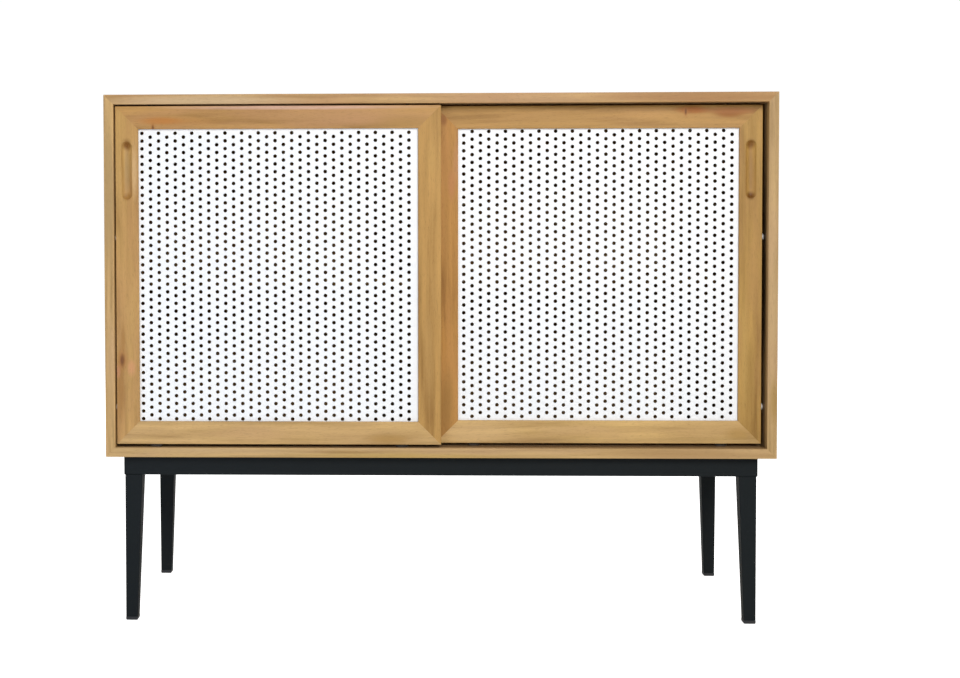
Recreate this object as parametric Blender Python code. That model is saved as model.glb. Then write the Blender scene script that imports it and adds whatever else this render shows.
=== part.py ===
"""Sliding door cabinet: a mitred wooden case on a steel base, with two framed doors that roll past each
other in two tracks. Metres, +Z up, front towards -Y, origin on the floor under the middle of the case."""

from math import cos, pi, radians, sin, sqrt

import bmesh
import bpy
from mathutils import Matrix, Vector

# Case
WIDTH = 1.200
DEPTH = 0.450
CASE_HEIGHT = 0.651
BOARD = 0.0175
EDGE_EASE = 0.0008
BACK_THICKNESS = 0.006
BACK_INSET = 0.0007
REBATE_WIDTH = 0.008
PARTITION_THICKNESS = 0.017
PARTITION_CLEARANCE = 0.006
SHELF_THICKNESS = 0.016
SHELF_ABOVE_FLOOR = 0.290
SHELF_SIDE_CLEARANCE = 0.001
SHELF_FRONT_SETBACK = 0.005
SHELF_BACK_CLEARANCE = 0.003
SHELF_PIN_RADIUS = 0.0025
SHELF_PIN_IN = 0.007
SHELF_PIN_OUT = 0.008
SHELF_PIN_INSET = 0.045

# Base
BASE_HEIGHT = 0.303
BASE_INSET_X = 0.028
BASE_INSET_Y = 0.026
BASE_RAIL_HEIGHT = 0.036
BASE_RAIL_WIDTH = 0.031
LEG_TOP = 0.0315
LEG_TOP_IN = 0.0015
LEG_FOOT = 0.0215
LEG_TOE_IN = 0.0015
STEEL_WALL = 0.002
GLIDE_HEIGHT = 0.006
GLIDE_CHAMFER = 0.0015
GLIDE_PLUG = 0.014
SCREW_RADIUS = 0.002
SCREW_HEAD_RADIUS = 0.0045
SCREW_HEAD_HEIGHT = 0.0026
SCREW_GRIP = 0.011
SCREW_SPREAD = 0.220
SCREW_ACCESS_RADIUS = 0.0065

# Doors
DOOR_THICKNESS = 0.020
DOOR_SETBACK = 0.005
DOOR_SPACING = 0.004
LEFT_DOOR_GAP = 0.0025
RIGHT_DOOR_GAP = 0.0045
DOOR_TOP_GAP = 0.003
DOOR_BOTTOM_GAP = 0.0055
DOOR_OVERLAP = 0.010
FRAME_WIDTH = 0.041
PANEL_GROOVE = 0.008
PANEL_SHEET = 0.0015
PANEL_RECESS = 0.006
PANEL_EDGE_PLAY = 0.0005
PULL_LENGTH = 0.104
PULL_WIDTH = 0.019
PULL_DEPTH = 0.010
PULL_FROM_TOP = 0.063
BUMPER_RADIUS = 0.006
BUMPER_STEM_RADIUS = 0.002
BUMPER_STEM = 0.0065
BUMPER_DOME = 0.001
BUMPER_TOP_RADIUS = 0.0045
BUMPER_UPPER_HEIGHT = 0.372
BUMPER_LOWER_HEIGHT = 0.0665

# Running gear
ROLLER_RADIUS = 0.0135
ROLLER_WIDTH = 0.005
ROLLER_TREAD_CHAMFER = 0.001
ROLLER_SIDE_PLAY = 0.0006
ROLLER_FROM_END = 0.070
AXLE_RADIUS = 0.0015
HOUSING_LENGTH = 0.038
HOUSING_CHEEK = 0.0024
HOUSING_CAP = 0.001
GUIDE_PIN_RADIUS = 0.00275
GUIDE_PIN_IN = 0.012
GUIDE_PIN_OUT = 0.009
GUIDE_PIN_FROM_END = 0.060
TRACK_WALL = 0.002
TRACK_END_GAP = 0.003
TOP_CHANNEL_DEPTH = 0.007
BOTTOM_CHANNEL_DEPTH = 0.003
BOTTOM_CHANNEL_PLAY = 0.001

# Clearances and roundness
SEAT = 0.0003
CUT_PAST = 0.001
ROUND_SIDES = 16
SMALL_ROUND_SIDES = 12
PULL_ARC_STEPS = 8
PULL_BOWL_STEPS = 3
PULL_BOWL_END = radians(75)
SHARP_ANGLE = radians(40)

# How far a mitre moves along its own piece, so that the joint keeps the seat's gap
MITRE_SHIFT = SEAT * sqrt(2)

# Worked out from the sizes above
FRONT = -DEPTH / 2
BACK = DEPTH / 2
CASE_BOTTOM = BASE_HEIGHT
CASE_TOP = BASE_HEIGHT + CASE_HEIGHT
INSIDE_X = WIDTH / 2 - BOARD
INSIDE_BOTTOM = CASE_BOTTOM + BOARD
INSIDE_TOP = CASE_TOP - BOARD
REBATE_DEPTH = BACK_THICKNESS + BACK_INSET + SEAT
REBATE_FRONT = BACK - REBATE_DEPTH

DOOR_WIDTH = INSIDE_X + (DOOR_OVERLAP - LEFT_DOOR_GAP - RIGHT_DOOR_GAP) / 2
DOOR_HEIGHT = INSIDE_TOP - INSIDE_BOTTOM - DOOR_TOP_GAP - DOOR_BOTTOM_GAP
DOOR_BOTTOM = INSIDE_BOTTOM + DOOR_BOTTOM_GAP
FRONT_DOOR_Y = FRONT + DOOR_SETBACK + DOOR_THICKNESS / 2
REAR_DOOR_Y = FRONT_DOOR_Y + DOOR_THICKNESS + DOOR_SPACING
PARTITION_FRONT = REAR_DOOR_Y + DOOR_THICKNESS / 2 + PARTITION_CLEARANCE

TRACK_FLOOR = INSIDE_BOTTOM - BOTTOM_CHANNEL_DEPTH
ROLLER_AXIS = TRACK_FLOOR + SEAT + ROLLER_RADIUS - DOOR_BOTTOM
ROLLER_POCKET_TOP = ROLLER_AXIS + ROLLER_RADIUS + ROLLER_SIDE_PLAY
HOUSING_HEIGHT = ROLLER_POCKET_TOP + HOUSING_CAP
HOUSING_WIDTH = ROLLER_WIDTH + 2 * ROLLER_SIDE_PLAY + 2 * HOUSING_CHEEK

# Colours as red, green and blue from 0 to 1, linear
CASE_WOOD = (0.52, 0.35, 0.17)
DOOR_WOOD = (0.50, 0.32, 0.13)
BACK_WOOD = (0.45, 0.31, 0.16)
WHITE_STEEL = (0.90, 0.90, 0.89)
BLACK_STEEL = (0.022, 0.023, 0.025)
TRACK_PLASTIC = (0.250, 0.150, 0.070)
NYLON = (0.55, 0.45, 0.33)
BUMPER_RUBBER = (0.50, 0.42, 0.28)
ZINC = (0.60, 0.61, 0.62)


def clear_scene():
    for item in list(bpy.data.objects):
        bpy.data.objects.remove(item, do_unlink=True)


def finish(item, colour, roughness, metallic=0.0):
    """Gives a piece its own material."""
    material = bpy.data.materials.new(item.name + "_finish")
    material.use_nodes = True
    shader = material.node_tree.nodes["Principled BSDF"]
    shader.inputs["Base Color"].default_value = (*colour, 1.0)
    shader.inputs["Roughness"].default_value = roughness
    shader.inputs["Metallic"].default_value = metallic
    item.data.materials.append(material)
    return item


def add_mesh(name, bm, parent=None, location=(0, 0, 0)):
    """Makes an object of a bmesh, with its faces pointing out."""
    bmesh.ops.recalc_face_normals(bm, faces=bm.faces[:])
    mesh = bpy.data.meshes.new(name)
    bm.to_mesh(mesh)
    bm.free()
    item = bpy.data.objects.new(name, mesh)
    item.location = location
    item.parent = parent
    bpy.context.scene.collection.objects.link(item)
    return item


def box_mesh(low, high):
    low = Vector(low)
    high = Vector(high)
    bm = bmesh.new()
    size = Matrix.Diagonal((*(high - low), 1.0))
    bmesh.ops.create_cube(bm, size=1.0, matrix=Matrix.Translation((low + high) / 2) @ size)
    return bm


def box(name, low, high, parent=None):
    return add_mesh(name, box_mesh(low, high), parent)


def prism_mesh(outline, direction):
    """Extrudes a flat outline of points along a direction."""
    bm = bmesh.new()
    face = bm.faces.new([bm.verts.new(point) for point in outline])
    grown = bmesh.ops.extrude_face_region(bm, geom=[face])
    moved = [item for item in grown["geom"] if isinstance(item, bmesh.types.BMVert)]
    bmesh.ops.translate(bm, verts=moved, vec=direction)
    return bm


def ease_front_edges(bm, front, along):
    """Takes the sharpness off the long edges of a front face; along is 0 for X and 2 for Z."""
    edges = []
    for edge in bm.edges:
        start, end = (vert.co for vert in edge.verts)
        run = (end - start).normalized()
        at_front = abs(start.y - front) < 1e-6 and abs(end.y - front) < 1e-6
        if at_front and abs(run[along]) > 0.999:
            edges.append(edge)
    bmesh.ops.bevel(bm, geom=edges, offset=EDGE_EASE, segments=1, profile=0.5, affect="EDGES", material=-1)


def loft_mesh(rings):
    """Extrudes the first ring's face through each further ring of as many points."""
    bm = bmesh.new()
    base = bm.faces.new([bm.verts.new(point) for point in rings[0]])
    cap = base
    for before, after in zip(rings, rings[1:]):
        grown = bmesh.ops.extrude_face_region(bm, geom=[cap])
        if cap is not base:
            bmesh.ops.delete(bm, geom=[cap], context="FACES_ONLY")
        cap = next(item for item in grown["geom"] if isinstance(item, bmesh.types.BMFace))
        for vert in cap.verts:
            nearest = min(range(len(before)), key=lambda i: (vert.co - Vector(before[i])).length)
            vert.co = after[nearest]
    return bm


def turned_mesh(profile, sides, axis):
    """Spins (distance along the axis, radius) points round an axis; the first and last are on it."""
    axis = Vector(axis)
    side = Vector((0, 0, 1)) if abs(axis.z) < 0.5 else Vector((1, 0, 0))
    bm = bmesh.new()
    verts = [bm.verts.new(axis * along + side * radius) for along, radius in profile]
    edges = [bm.edges.new(pair) for pair in zip(verts, verts[1:])]
    bmesh.ops.spin(
        bm, geom=verts + edges, cent=(0, 0, 0), axis=axis, angle=2 * pi, steps=sides, use_merge=True)
    bmesh.ops.remove_doubles(bm, verts=bm.verts[:], dist=1e-6)
    return bm


def rod_profile(start, end, radius):
    return [(start, 0), (start, radius), (end, radius), (end, 0)]


def turned(name, profile, sides, axis, location, parent=None):
    item = add_mesh(name, turned_mesh(profile, sides, axis), parent, location)
    item.data.shade_smooth()
    item.data.set_sharp_from_angle(angle=SHARP_ANGLE)
    return item


def hide_cutter(item):
    item.hide_render = True
    item.display_type = "WIRE"
    return item


def cut(item, cutter):
    """Cuts one piece with a hidden cutter."""
    hide_cutter(cutter)
    modifier = item.modifiers.new("cut_" + cutter.name, "BOOLEAN")
    modifier.operation = "DIFFERENCE"
    modifier.solver = "EXACT"
    modifier.object = cutter


def mitred_outline(low, high, width, side, gap):
    """The four points of one mitred side of a rectangle, whose shorter face looks inwards. The gap is how
    far the piece stays back from the mitre at each end."""
    left, bottom = low
    right, top = high
    if side in ("bottom", "top"):
        outer, inner = (bottom, bottom + width) if side == "bottom" else (top, top - width)
        return [
            (left + gap, outer),
            (right - gap, outer),
            (right - width - gap, inner),
            (left + width + gap, inner),
        ]
    outer, inner = (left, left + width) if side == "left" else (right, right - width)
    return [
        (outer, bottom + gap),
        (outer, top - gap),
        (inner, top - width - gap),
        (inner, bottom + width + gap),
    ]


def mitred_member(name, low, high, width, side, depth_range, gap, parent=None):
    """One mitred board or frame member, standing in the XZ plane with its front edges eased."""
    near, far = depth_range
    outline = mitred_outline(low, high, width, side, gap)
    bm = prism_mesh([(x, near, z) for x, z in outline], (0, far - near, 0))
    ease_front_edges(bm, near, 0 if side in ("bottom", "top") else 2)
    return add_mesh(name, bm, parent)


# Case


def make_case():
    low = (-WIDTH / 2, CASE_BOTTOM)
    high = (WIDTH / 2, CASE_TOP)
    boards = {}
    for name, side, gap in (
        ("top_panel", "top", 0.0),
        ("bottom_panel", "bottom", 0.0),
        ("left_side", "left", MITRE_SHIFT),
        ("right_side", "right", MITRE_SHIFT),
    ):
        boards[name] = mitred_member(name, low, high, BOARD, side, (FRONT, BACK), gap)
        finish(boards[name], CASE_WOOD, 0.5)
    rebate_x = INSIDE_X + REBATE_WIDTH
    rebate = box(
        "rebate_cutter",
        (-rebate_x, REBATE_FRONT, INSIDE_BOTTOM - REBATE_WIDTH),
        (rebate_x, BACK + CUT_PAST, INSIDE_TOP + REBATE_WIDTH),
    )
    for board in boards.values():
        cut(board, rebate)
    back = box(
        "back_panel",
        (-rebate_x + SEAT, REBATE_FRONT + SEAT, INSIDE_BOTTOM - REBATE_WIDTH + SEAT),
        (rebate_x - SEAT, BACK - BACK_INSET, INSIDE_TOP + REBATE_WIDTH - SEAT),
    )
    finish(back, BACK_WOOD, 0.6)
    partition = box(
        "centre_partition",
        (-PARTITION_THICKNESS / 2, PARTITION_FRONT, INSIDE_BOTTOM + SEAT),
        (PARTITION_THICKNESS / 2, REBATE_FRONT, INSIDE_TOP - SEAT),
    )
    boards["centre_partition"] = finish(partition, CASE_WOOD, 0.5)
    return boards


def make_shelf(side_name, sign, boards):
    """One adjustable shelf on four pins; sign is -1 for the left bay and +1 for the right."""
    inner_x = PARTITION_THICKNESS / 2
    shelf_bottom = INSIDE_BOTTOM + SHELF_ABOVE_FLOOR
    front = PARTITION_FRONT + SHELF_FRONT_SETBACK
    back = REBATE_FRONT - SHELF_BACK_CLEARANCE
    near = sign * (inner_x + SHELF_SIDE_CLEARANCE)
    far = sign * (INSIDE_X - SHELF_SIDE_CLEARANCE)
    shelf = box(
        side_name + "_shelf",
        (min(near, far), front, shelf_bottom),
        (max(near, far), back, shelf_bottom + SHELF_THICKNESS),
    )
    finish(shelf, CASE_WOOD, 0.5)
    pin_z = shelf_bottom - SEAT - SHELF_PIN_RADIUS
    number = 0
    for board_name, wall, inward in (
        (side_name + "_side", sign * INSIDE_X, -sign),
        ("centre_partition", sign * inner_x, sign),
    ):
        for pin_y in (front + SHELF_PIN_INSET, back - SHELF_PIN_INSET):
            number += 1
            name = f"{side_name}_shelf_pin_{number}"
            place = (wall, pin_y, pin_z)
            axis = (inward, 0, 0)
            profile = rod_profile(-SHELF_PIN_IN, SHELF_PIN_OUT, SHELF_PIN_RADIUS)
            finish(turned(name, profile, SMALL_ROUND_SIDES, axis, place), ZINC, 0.35, 1.0)
            hole = rod_profile(-SHELF_PIN_IN - SEAT, CUT_PAST, SHELF_PIN_RADIUS + SEAT)
            cut(boards[board_name], turned(name + "_hole", hole, SMALL_ROUND_SIDES, axis, place))


# Tracks


def channel_outline(floor, mouth, channel_width, wall):
    """The (y, z) outline of a strip with a channel at each door's middle plane. The channels open from
    their floor towards the mouth, and wall is the strip's thickness beside and behind them."""
    half = channel_width / 2
    outer_front = FRONT_DOOR_Y - half - wall
    outer_back = REAR_DOOR_Y + half + wall
    behind = floor + wall if floor > mouth else floor - wall
    return [
        (outer_front, behind),
        (outer_front, mouth),
        (FRONT_DOOR_Y - half, mouth),
        (FRONT_DOOR_Y - half, floor),
        (FRONT_DOOR_Y + half, floor),
        (FRONT_DOOR_Y + half, mouth),
        (REAR_DOOR_Y - half, mouth),
        (REAR_DOOR_Y - half, floor),
        (REAR_DOOR_Y + half, floor),
        (REAR_DOOR_Y + half, mouth),
        (outer_back, mouth),
        (outer_back, behind),
    ]


def make_track(name, floor, mouth, channel_width, board):
    """A two-channel strip let into a board, flush with the board's inner face."""
    outline = channel_outline(floor, mouth, channel_width, TRACK_WALL)
    end = INSIDE_X - TRACK_END_GAP
    bm = prism_mesh([(-end, y, z) for y, z in outline], (2 * end, 0, 0))
    finish(add_mesh(name, bm), TRACK_PLASTIC, 0.45)
    ys = [point[0] for point in outline]
    zs = [point[1] for point in outline]
    past = CUT_PAST if floor < mouth else -CUT_PAST
    seat = -SEAT if floor < mouth else SEAT
    deep = (min(zs) if floor < mouth else max(zs)) + seat
    heights = sorted((deep, mouth + past))
    groove = box(
        name + "_groove",
        (-end - SEAT, min(ys) - SEAT, heights[0]),
        (end + SEAT, max(ys) + SEAT, heights[1]),
    )
    cut(board, groove)


# Doors


def capsule(centre_x, depth, low_z, high_z, radius):
    """An upright oblong ring with round ends; low_z and high_z are the centres of the ends."""
    points = []
    for middle, start in ((high_z, 0.0), (low_z, pi)):
        for step in range(PULL_ARC_STEPS + 1):
            angle = start + pi * step / PULL_ARC_STEPS
            points.append((centre_x + radius * cos(angle), depth, middle + radius * sin(angle)))
    return points


def make_pull_cutter(name, centre_x, face_y, parent):
    """A round-bottomed oblong recess, as a ball-nosed cutter leaves it."""
    radius = PULL_WIDTH / 2
    top = DOOR_HEIGHT - PULL_FROM_TOP - radius
    bottom = DOOR_HEIGHT - PULL_FROM_TOP - PULL_LENGTH + radius
    wall = PULL_DEPTH - radius
    rings = [capsule(centre_x, face_y - CUT_PAST, bottom, top, radius)]
    for step in range(PULL_BOWL_STEPS + 1):
        angle = PULL_BOWL_END * step / PULL_BOWL_STEPS
        depth = face_y + wall + radius * sin(angle)
        rings.append(capsule(centre_x, depth, bottom, top, radius * cos(angle)))
    return add_mesh(name, loft_mesh(rings), parent)


def make_door(name, door_y, outer, side_gap):
    """One framed door. Its empty stands at the middle of the closed door's lower edge, on the line that
    the door slides along; outer is -1 where the door's outer stile is the left one and +1 for the right.
    side_gap is what the closed door leaves open beside the side board."""
    door_x = outer * (INSIDE_X - side_gap - DOOR_WIDTH / 2)
    empty = bpy.data.objects.new(name + "_axis", None)
    empty.location = (door_x, door_y, DOOR_BOTTOM)
    bpy.context.scene.collection.objects.link(empty)
    half = DOOR_WIDTH / 2
    face = -DOOR_THICKNESS / 2
    depth_range = (face, -face)
    low = (-half, 0.0)
    high = (half, DOOR_HEIGHT)
    outer_side, inner_side = ("left", "right") if outer < 0 else ("right", "left")
    frame = {}
    for piece, side, gap in (
        ("outer_stile", outer_side, MITRE_SHIFT),
        ("inner_stile", inner_side, MITRE_SHIFT),
        ("top_rail", "top", 0.0),
        ("bottom_rail", "bottom", 0.0),
    ):
        piece_name = f"{name}_{piece}"
        frame[piece] = mitred_member(piece_name, low, high, FRAME_WIDTH, side, depth_range, gap, empty)
        finish(frame[piece], DOOR_WOOD, 0.5)

    reach = FRAME_WIDTH - PANEL_GROOVE
    sheet_front = face + PANEL_RECESS
    groove = box(
        name + "_groove",
        (-half + reach, sheet_front - SEAT, reach),
        (half - reach, sheet_front + PANEL_SHEET + SEAT, DOOR_HEIGHT - reach),
        empty,
    )
    for member in frame.values():
        cut(member, groove)
    edge = reach + PANEL_EDGE_PLAY
    sheet = box(
        name + "_perforated_sheet",
        (-half + edge, sheet_front, edge),
        (half - edge, sheet_front + PANEL_SHEET, DOOR_HEIGHT - edge),
        empty,
    )
    finish(sheet, WHITE_STEEL, 0.45)

    pull_x = outer * (half - FRAME_WIDTH / 2)
    cut(frame["outer_stile"], make_pull_cutter(name + "_pull", pull_x, face, empty))
    make_bumpers(name, outer, half, side_gap, frame["outer_stile"], empty)
    make_guide_pins(name, half, frame["top_rail"], empty)
    make_rollers(name, half, frame["bottom_rail"], empty)


def make_bumpers(name, outer, half, side_gap, stile, empty):
    """Two round bumpers pushed into the door's outer edge, which meet the side board."""
    tip = side_gap - SEAT
    profile = [
        (-BUMPER_STEM, 0),
        (-BUMPER_STEM, BUMPER_STEM_RADIUS),
        (SEAT, BUMPER_STEM_RADIUS),
        (SEAT, BUMPER_RADIUS),
        (tip - BUMPER_DOME, BUMPER_RADIUS),
        (tip, BUMPER_TOP_RADIUS),
        (tip, 0),
    ]
    hole = rod_profile(-BUMPER_STEM - SEAT, CUT_PAST, BUMPER_STEM_RADIUS + SEAT)
    for place_name, height in (("upper", BUMPER_UPPER_HEIGHT), ("lower", BUMPER_LOWER_HEIGHT)):
        bumper_name = f"{name}_bumper_{place_name}"
        place = (outer * half, 0, height)
        axis = (outer, 0, 0)
        bumper = turned(bumper_name, profile, SMALL_ROUND_SIDES, axis, place, empty)
        finish(bumper, BUMPER_RUBBER, 0.55)
        cut(stile, turned(bumper_name + "_hole", hole, SMALL_ROUND_SIDES, axis, place, empty))


def make_guide_pins(name, half, rail, empty):
    """Two pins in the top rail, which run in the top track's channel."""
    offset = half - GUIDE_PIN_FROM_END
    profile = rod_profile(-GUIDE_PIN_IN, GUIDE_PIN_OUT, GUIDE_PIN_RADIUS)
    hole = rod_profile(-GUIDE_PIN_IN - SEAT, CUT_PAST, GUIDE_PIN_RADIUS + SEAT)
    for number, x in ((1, -offset), (2, offset)):
        pin_name = f"{name}_guide_pin_{number}"
        place = (x, 0, DOOR_HEIGHT)
        finish(turned(pin_name, profile, SMALL_ROUND_SIDES, (0, 0, 1), place, empty), BLACK_STEEL, 0.5)
        cut(rail, turned(pin_name + "_hole", hole, SMALL_ROUND_SIDES, (0, 0, 1), place, empty))


def make_rollers(name, half, rail, empty):
    """Two rollers, each on its own axle in a housing let into the bottom rail."""
    axle_end = HOUSING_WIDTH / 2 - SEAT
    tread = ROLLER_WIDTH / 2 - ROLLER_TREAD_CHAMFER
    profile = [
        (-axle_end, 0),
        (-axle_end, AXLE_RADIUS),
        (-ROLLER_WIDTH / 2, AXLE_RADIUS),
        (-ROLLER_WIDTH / 2, ROLLER_RADIUS - ROLLER_TREAD_CHAMFER),
        (-tread, ROLLER_RADIUS),
        (tread, ROLLER_RADIUS),
        (ROLLER_WIDTH / 2, ROLLER_RADIUS - ROLLER_TREAD_CHAMFER),
        (ROLLER_WIDTH / 2, AXLE_RADIUS),
        (axle_end, AXLE_RADIUS),
        (axle_end, 0),
    ]
    long_half = HOUSING_LENGTH / 2
    wide_half = HOUSING_WIDTH / 2
    pocket_long = ROLLER_RADIUS + ROLLER_SIDE_PLAY
    pocket_wide = ROLLER_WIDTH / 2 + ROLLER_SIDE_PLAY
    offset = half - ROLLER_FROM_END
    for number, x in ((1, -offset), (2, offset)):
        roller_name = f"{name}_roller_{number}"
        place = (x, 0, ROLLER_AXIS)
        finish(turned(roller_name, profile, ROUND_SIDES, (0, 1, 0), place, empty), NYLON, 0.4)
        housing = box(
            f"{name}_roller_housing_{number}",
            (x - long_half, -wide_half, 0),
            (x + long_half, wide_half, HOUSING_HEIGHT),
            empty,
        )
        finish(housing, BLACK_STEEL, 0.5)
        pocket = box(
            roller_name + "_pocket",
            (x - pocket_long, -pocket_wide, -CUT_PAST),
            (x + pocket_long, pocket_wide, ROLLER_POCKET_TOP),
            empty,
        )
        cut(housing, pocket)
        axle_hole = rod_profile(-wide_half - CUT_PAST, wide_half + CUT_PAST, AXLE_RADIUS + SEAT)
        hole_name = roller_name + "_axle_hole"
        cut(housing, turned(hole_name, axle_hole, SMALL_ROUND_SIDES, (0, 1, 0), place, empty))
        mortise = box(
            roller_name + "_mortise",
            (x - long_half - SEAT, -wide_half - SEAT, -CUT_PAST),
            (x + long_half + SEAT, wide_half + SEAT, HOUSING_HEIGHT + SEAT),
            empty,
        )
        cut(rail, mortise)


# Base


def make_base(bottom_panel):
    """A mitred ring of box tube, four tapered legs under its corners and a glide in each foot."""
    outer_x = WIDTH / 2 - BASE_INSET_X
    outer_y = DEPTH / 2 - BASE_INSET_Y
    top = BASE_HEIGHT - SEAT
    bottom = BASE_HEIGHT - BASE_RAIL_HEIGHT
    rails = {}
    for name, side, gap in (
        ("base_front_rail", "bottom", 0.0),
        ("base_back_rail", "top", 0.0),
        ("base_left_rail", "left", MITRE_SHIFT),
        ("base_right_rail", "right", MITRE_SHIFT),
    ):
        outline = mitred_outline((-outer_x, -outer_y), (outer_x, outer_y), BASE_RAIL_WIDTH, side, gap)
        bm = prism_mesh([(x, y, bottom) for x, y in outline], (0, 0, top - bottom))
        rails[side] = finish(add_mesh(name, bm), BLACK_STEEL, 0.5)
        xs = [point[0] for point in outline]
        ys = [point[1] for point in outline]
        along_x = side in ("bottom", "top")
        grow_x = CUT_PAST if along_x else -STEEL_WALL
        grow_y = -STEEL_WALL if along_x else CUT_PAST
        bore = box(
            name + "_bore",
            (min(xs) - grow_x, min(ys) - grow_y, bottom + STEEL_WALL),
            (max(xs) + grow_x, max(ys) + grow_y, top - STEEL_WALL),
        )
        cut(rails[side], bore)
    for sign_x, across in ((-1, "left"), (1, "right")):
        for sign_y, along in ((-1, "front"), (1, "rear")):
            make_leg(f"{along}_{across}", sign_x, sign_y, outer_x, outer_y, bottom - SEAT)
    rail_x = outer_x - BASE_RAIL_WIDTH / 2
    number = 0
    for side, x in (("left", -rail_x), ("right", rail_x)):
        for y in (-SCREW_SPREAD / 2, SCREW_SPREAD / 2):
            number += 1
            make_screw(f"base_screw_{number}", x, y, top, bottom, rails[side], bottom_panel)


def leg_square(sign_x, sign_y, outer_x, outer_y, size, toe, wall, z):
    """A level square under a corner of the base ring, from its outer corner inwards; wall insets it."""
    far_x = outer_x - toe
    far_y = outer_y - toe
    corners = ((far_x, far_y), (far_x - size, far_y), (far_x - size, far_y - size), (far_x, far_y - size))
    middle_x = far_x - size / 2
    middle_y = far_y - size / 2
    scale = (size - 2 * wall) / size
    ring = []
    for x, y in corners:
        ring.append((
            sign_x * (middle_x + (x - middle_x) * scale),
            sign_y * (middle_y + (y - middle_y) * scale),
            z,
        ))
    return ring


def make_leg(name, sign_x, sign_y, outer_x, outer_y, top):
    bottom = GLIDE_HEIGHT + SEAT
    spots = ((top, LEG_TOP, LEG_TOP_IN), (bottom, LEG_FOOT, LEG_TOE_IN))

    def squares(wall, past):
        rings = []
        for z, size, toe in spots:
            reach = past if z == top else -past
            rings.append(leg_square(sign_x, sign_y, outer_x, outer_y, size, toe, wall, z + reach))
        return rings

    leg = add_mesh(name + "_leg", loft_mesh(squares(0.0, 0.0)))
    finish(leg, BLACK_STEEL, 0.5)
    cut(leg, add_mesh(name + "_leg_bore", loft_mesh(squares(STEEL_WALL, CUT_PAST))))

    plug_wall = STEEL_WALL + 2 * SEAT
    heights = (
        (0.0, GLIDE_CHAMFER),
        (GLIDE_CHAMFER, 0.0),
        (GLIDE_HEIGHT, 0.0),
        (GLIDE_HEIGHT, plug_wall),
        (GLIDE_HEIGHT + GLIDE_PLUG, plug_wall),
    )
    rings = [
        leg_square(sign_x, sign_y, outer_x, outer_y, LEG_FOOT, LEG_TOE_IN, wall, z) for z, wall in heights
    ]
    finish(add_mesh(name + "_foot_glide", loft_mesh(rings)), BLACK_STEEL, 0.6)


def make_screw(name, x, y, rail_top, rail_bottom, rail, bottom_panel):
    """A pan-head screw from inside the box tube up into the bottom panel, with an access hole below."""
    head_top = rail_top - STEEL_WALL - SEAT
    place = (x, y, head_top)
    up = (0, 0, 1)
    shank = BASE_HEIGHT + SCREW_GRIP - head_top
    profile = [
        (-SCREW_HEAD_HEIGHT, 0),
        (-SCREW_HEAD_HEIGHT, SCREW_HEAD_RADIUS),
        (0, SCREW_HEAD_RADIUS),
        (0, SCREW_RADIUS),
        (shank, SCREW_RADIUS),
        (shank, 0),
    ]
    finish(turned(name, profile, SMALL_ROUND_SIDES, up, place), ZINC, 0.35, 1.0)
    hole = rod_profile(0, shank + SEAT, SCREW_RADIUS + SEAT)
    hole_cutter = turned(name + "_hole", hole, SMALL_ROUND_SIDES, up, place)
    cut(rail, hole_cutter)
    cut(bottom_panel, hole_cutter)
    access = rod_profile(-CUT_PAST, STEEL_WALL + CUT_PAST, SCREW_ACCESS_RADIUS)
    access_place = (x, y, rail_bottom)
    cut(rail, turned(name + "_access", access, SMALL_ROUND_SIDES, up, access_place))


def main():
    clear_scene()
    boards = make_case()
    make_shelf("left", -1, boards)
    make_shelf("right", 1, boards)
    guide_channel = 2 * (GUIDE_PIN_RADIUS + SEAT)
    roller_channel = ROLLER_WIDTH + 2 * BOTTOM_CHANNEL_PLAY
    make_track("top_track", INSIDE_TOP + TOP_CHANNEL_DEPTH, INSIDE_TOP, guide_channel, boards["top_panel"])
    make_track("bottom_track", TRACK_FLOOR, INSIDE_BOTTOM, roller_channel, boards["bottom_panel"])
    make_door("left_door", FRONT_DOOR_Y, -1, LEFT_DOOR_GAP)
    make_door("right_door", REAR_DOOR_Y, 1, RIGHT_DOOR_GAP)
    make_base(boards["bottom_panel"])


main()
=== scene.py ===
"""Sliding door cabinet: a mitred mango wood case on a black steel base, with two framed doors of white
punched sheet that roll past each other. Metres, +Z up, front towards -Y."""

from math import cos, pi, radians, sin

import bmesh
import bpy
from mathutils import Euler, Matrix, Vector


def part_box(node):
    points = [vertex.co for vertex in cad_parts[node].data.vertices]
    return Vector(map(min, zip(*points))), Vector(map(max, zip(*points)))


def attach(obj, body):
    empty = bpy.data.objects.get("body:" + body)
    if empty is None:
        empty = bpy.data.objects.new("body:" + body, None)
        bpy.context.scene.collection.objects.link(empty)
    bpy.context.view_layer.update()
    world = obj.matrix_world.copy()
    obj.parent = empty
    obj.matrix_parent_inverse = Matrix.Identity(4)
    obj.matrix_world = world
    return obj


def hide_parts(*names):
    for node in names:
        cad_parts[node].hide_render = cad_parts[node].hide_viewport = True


MM = 0.001
X, Y, Z = 0, 1, 2

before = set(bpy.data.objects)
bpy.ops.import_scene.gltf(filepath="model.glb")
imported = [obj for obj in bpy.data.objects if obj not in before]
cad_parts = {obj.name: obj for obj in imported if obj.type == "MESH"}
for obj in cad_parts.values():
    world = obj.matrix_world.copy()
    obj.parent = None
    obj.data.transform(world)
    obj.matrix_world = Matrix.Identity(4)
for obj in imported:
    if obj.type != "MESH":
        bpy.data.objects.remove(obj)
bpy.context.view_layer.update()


# Camera


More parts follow.
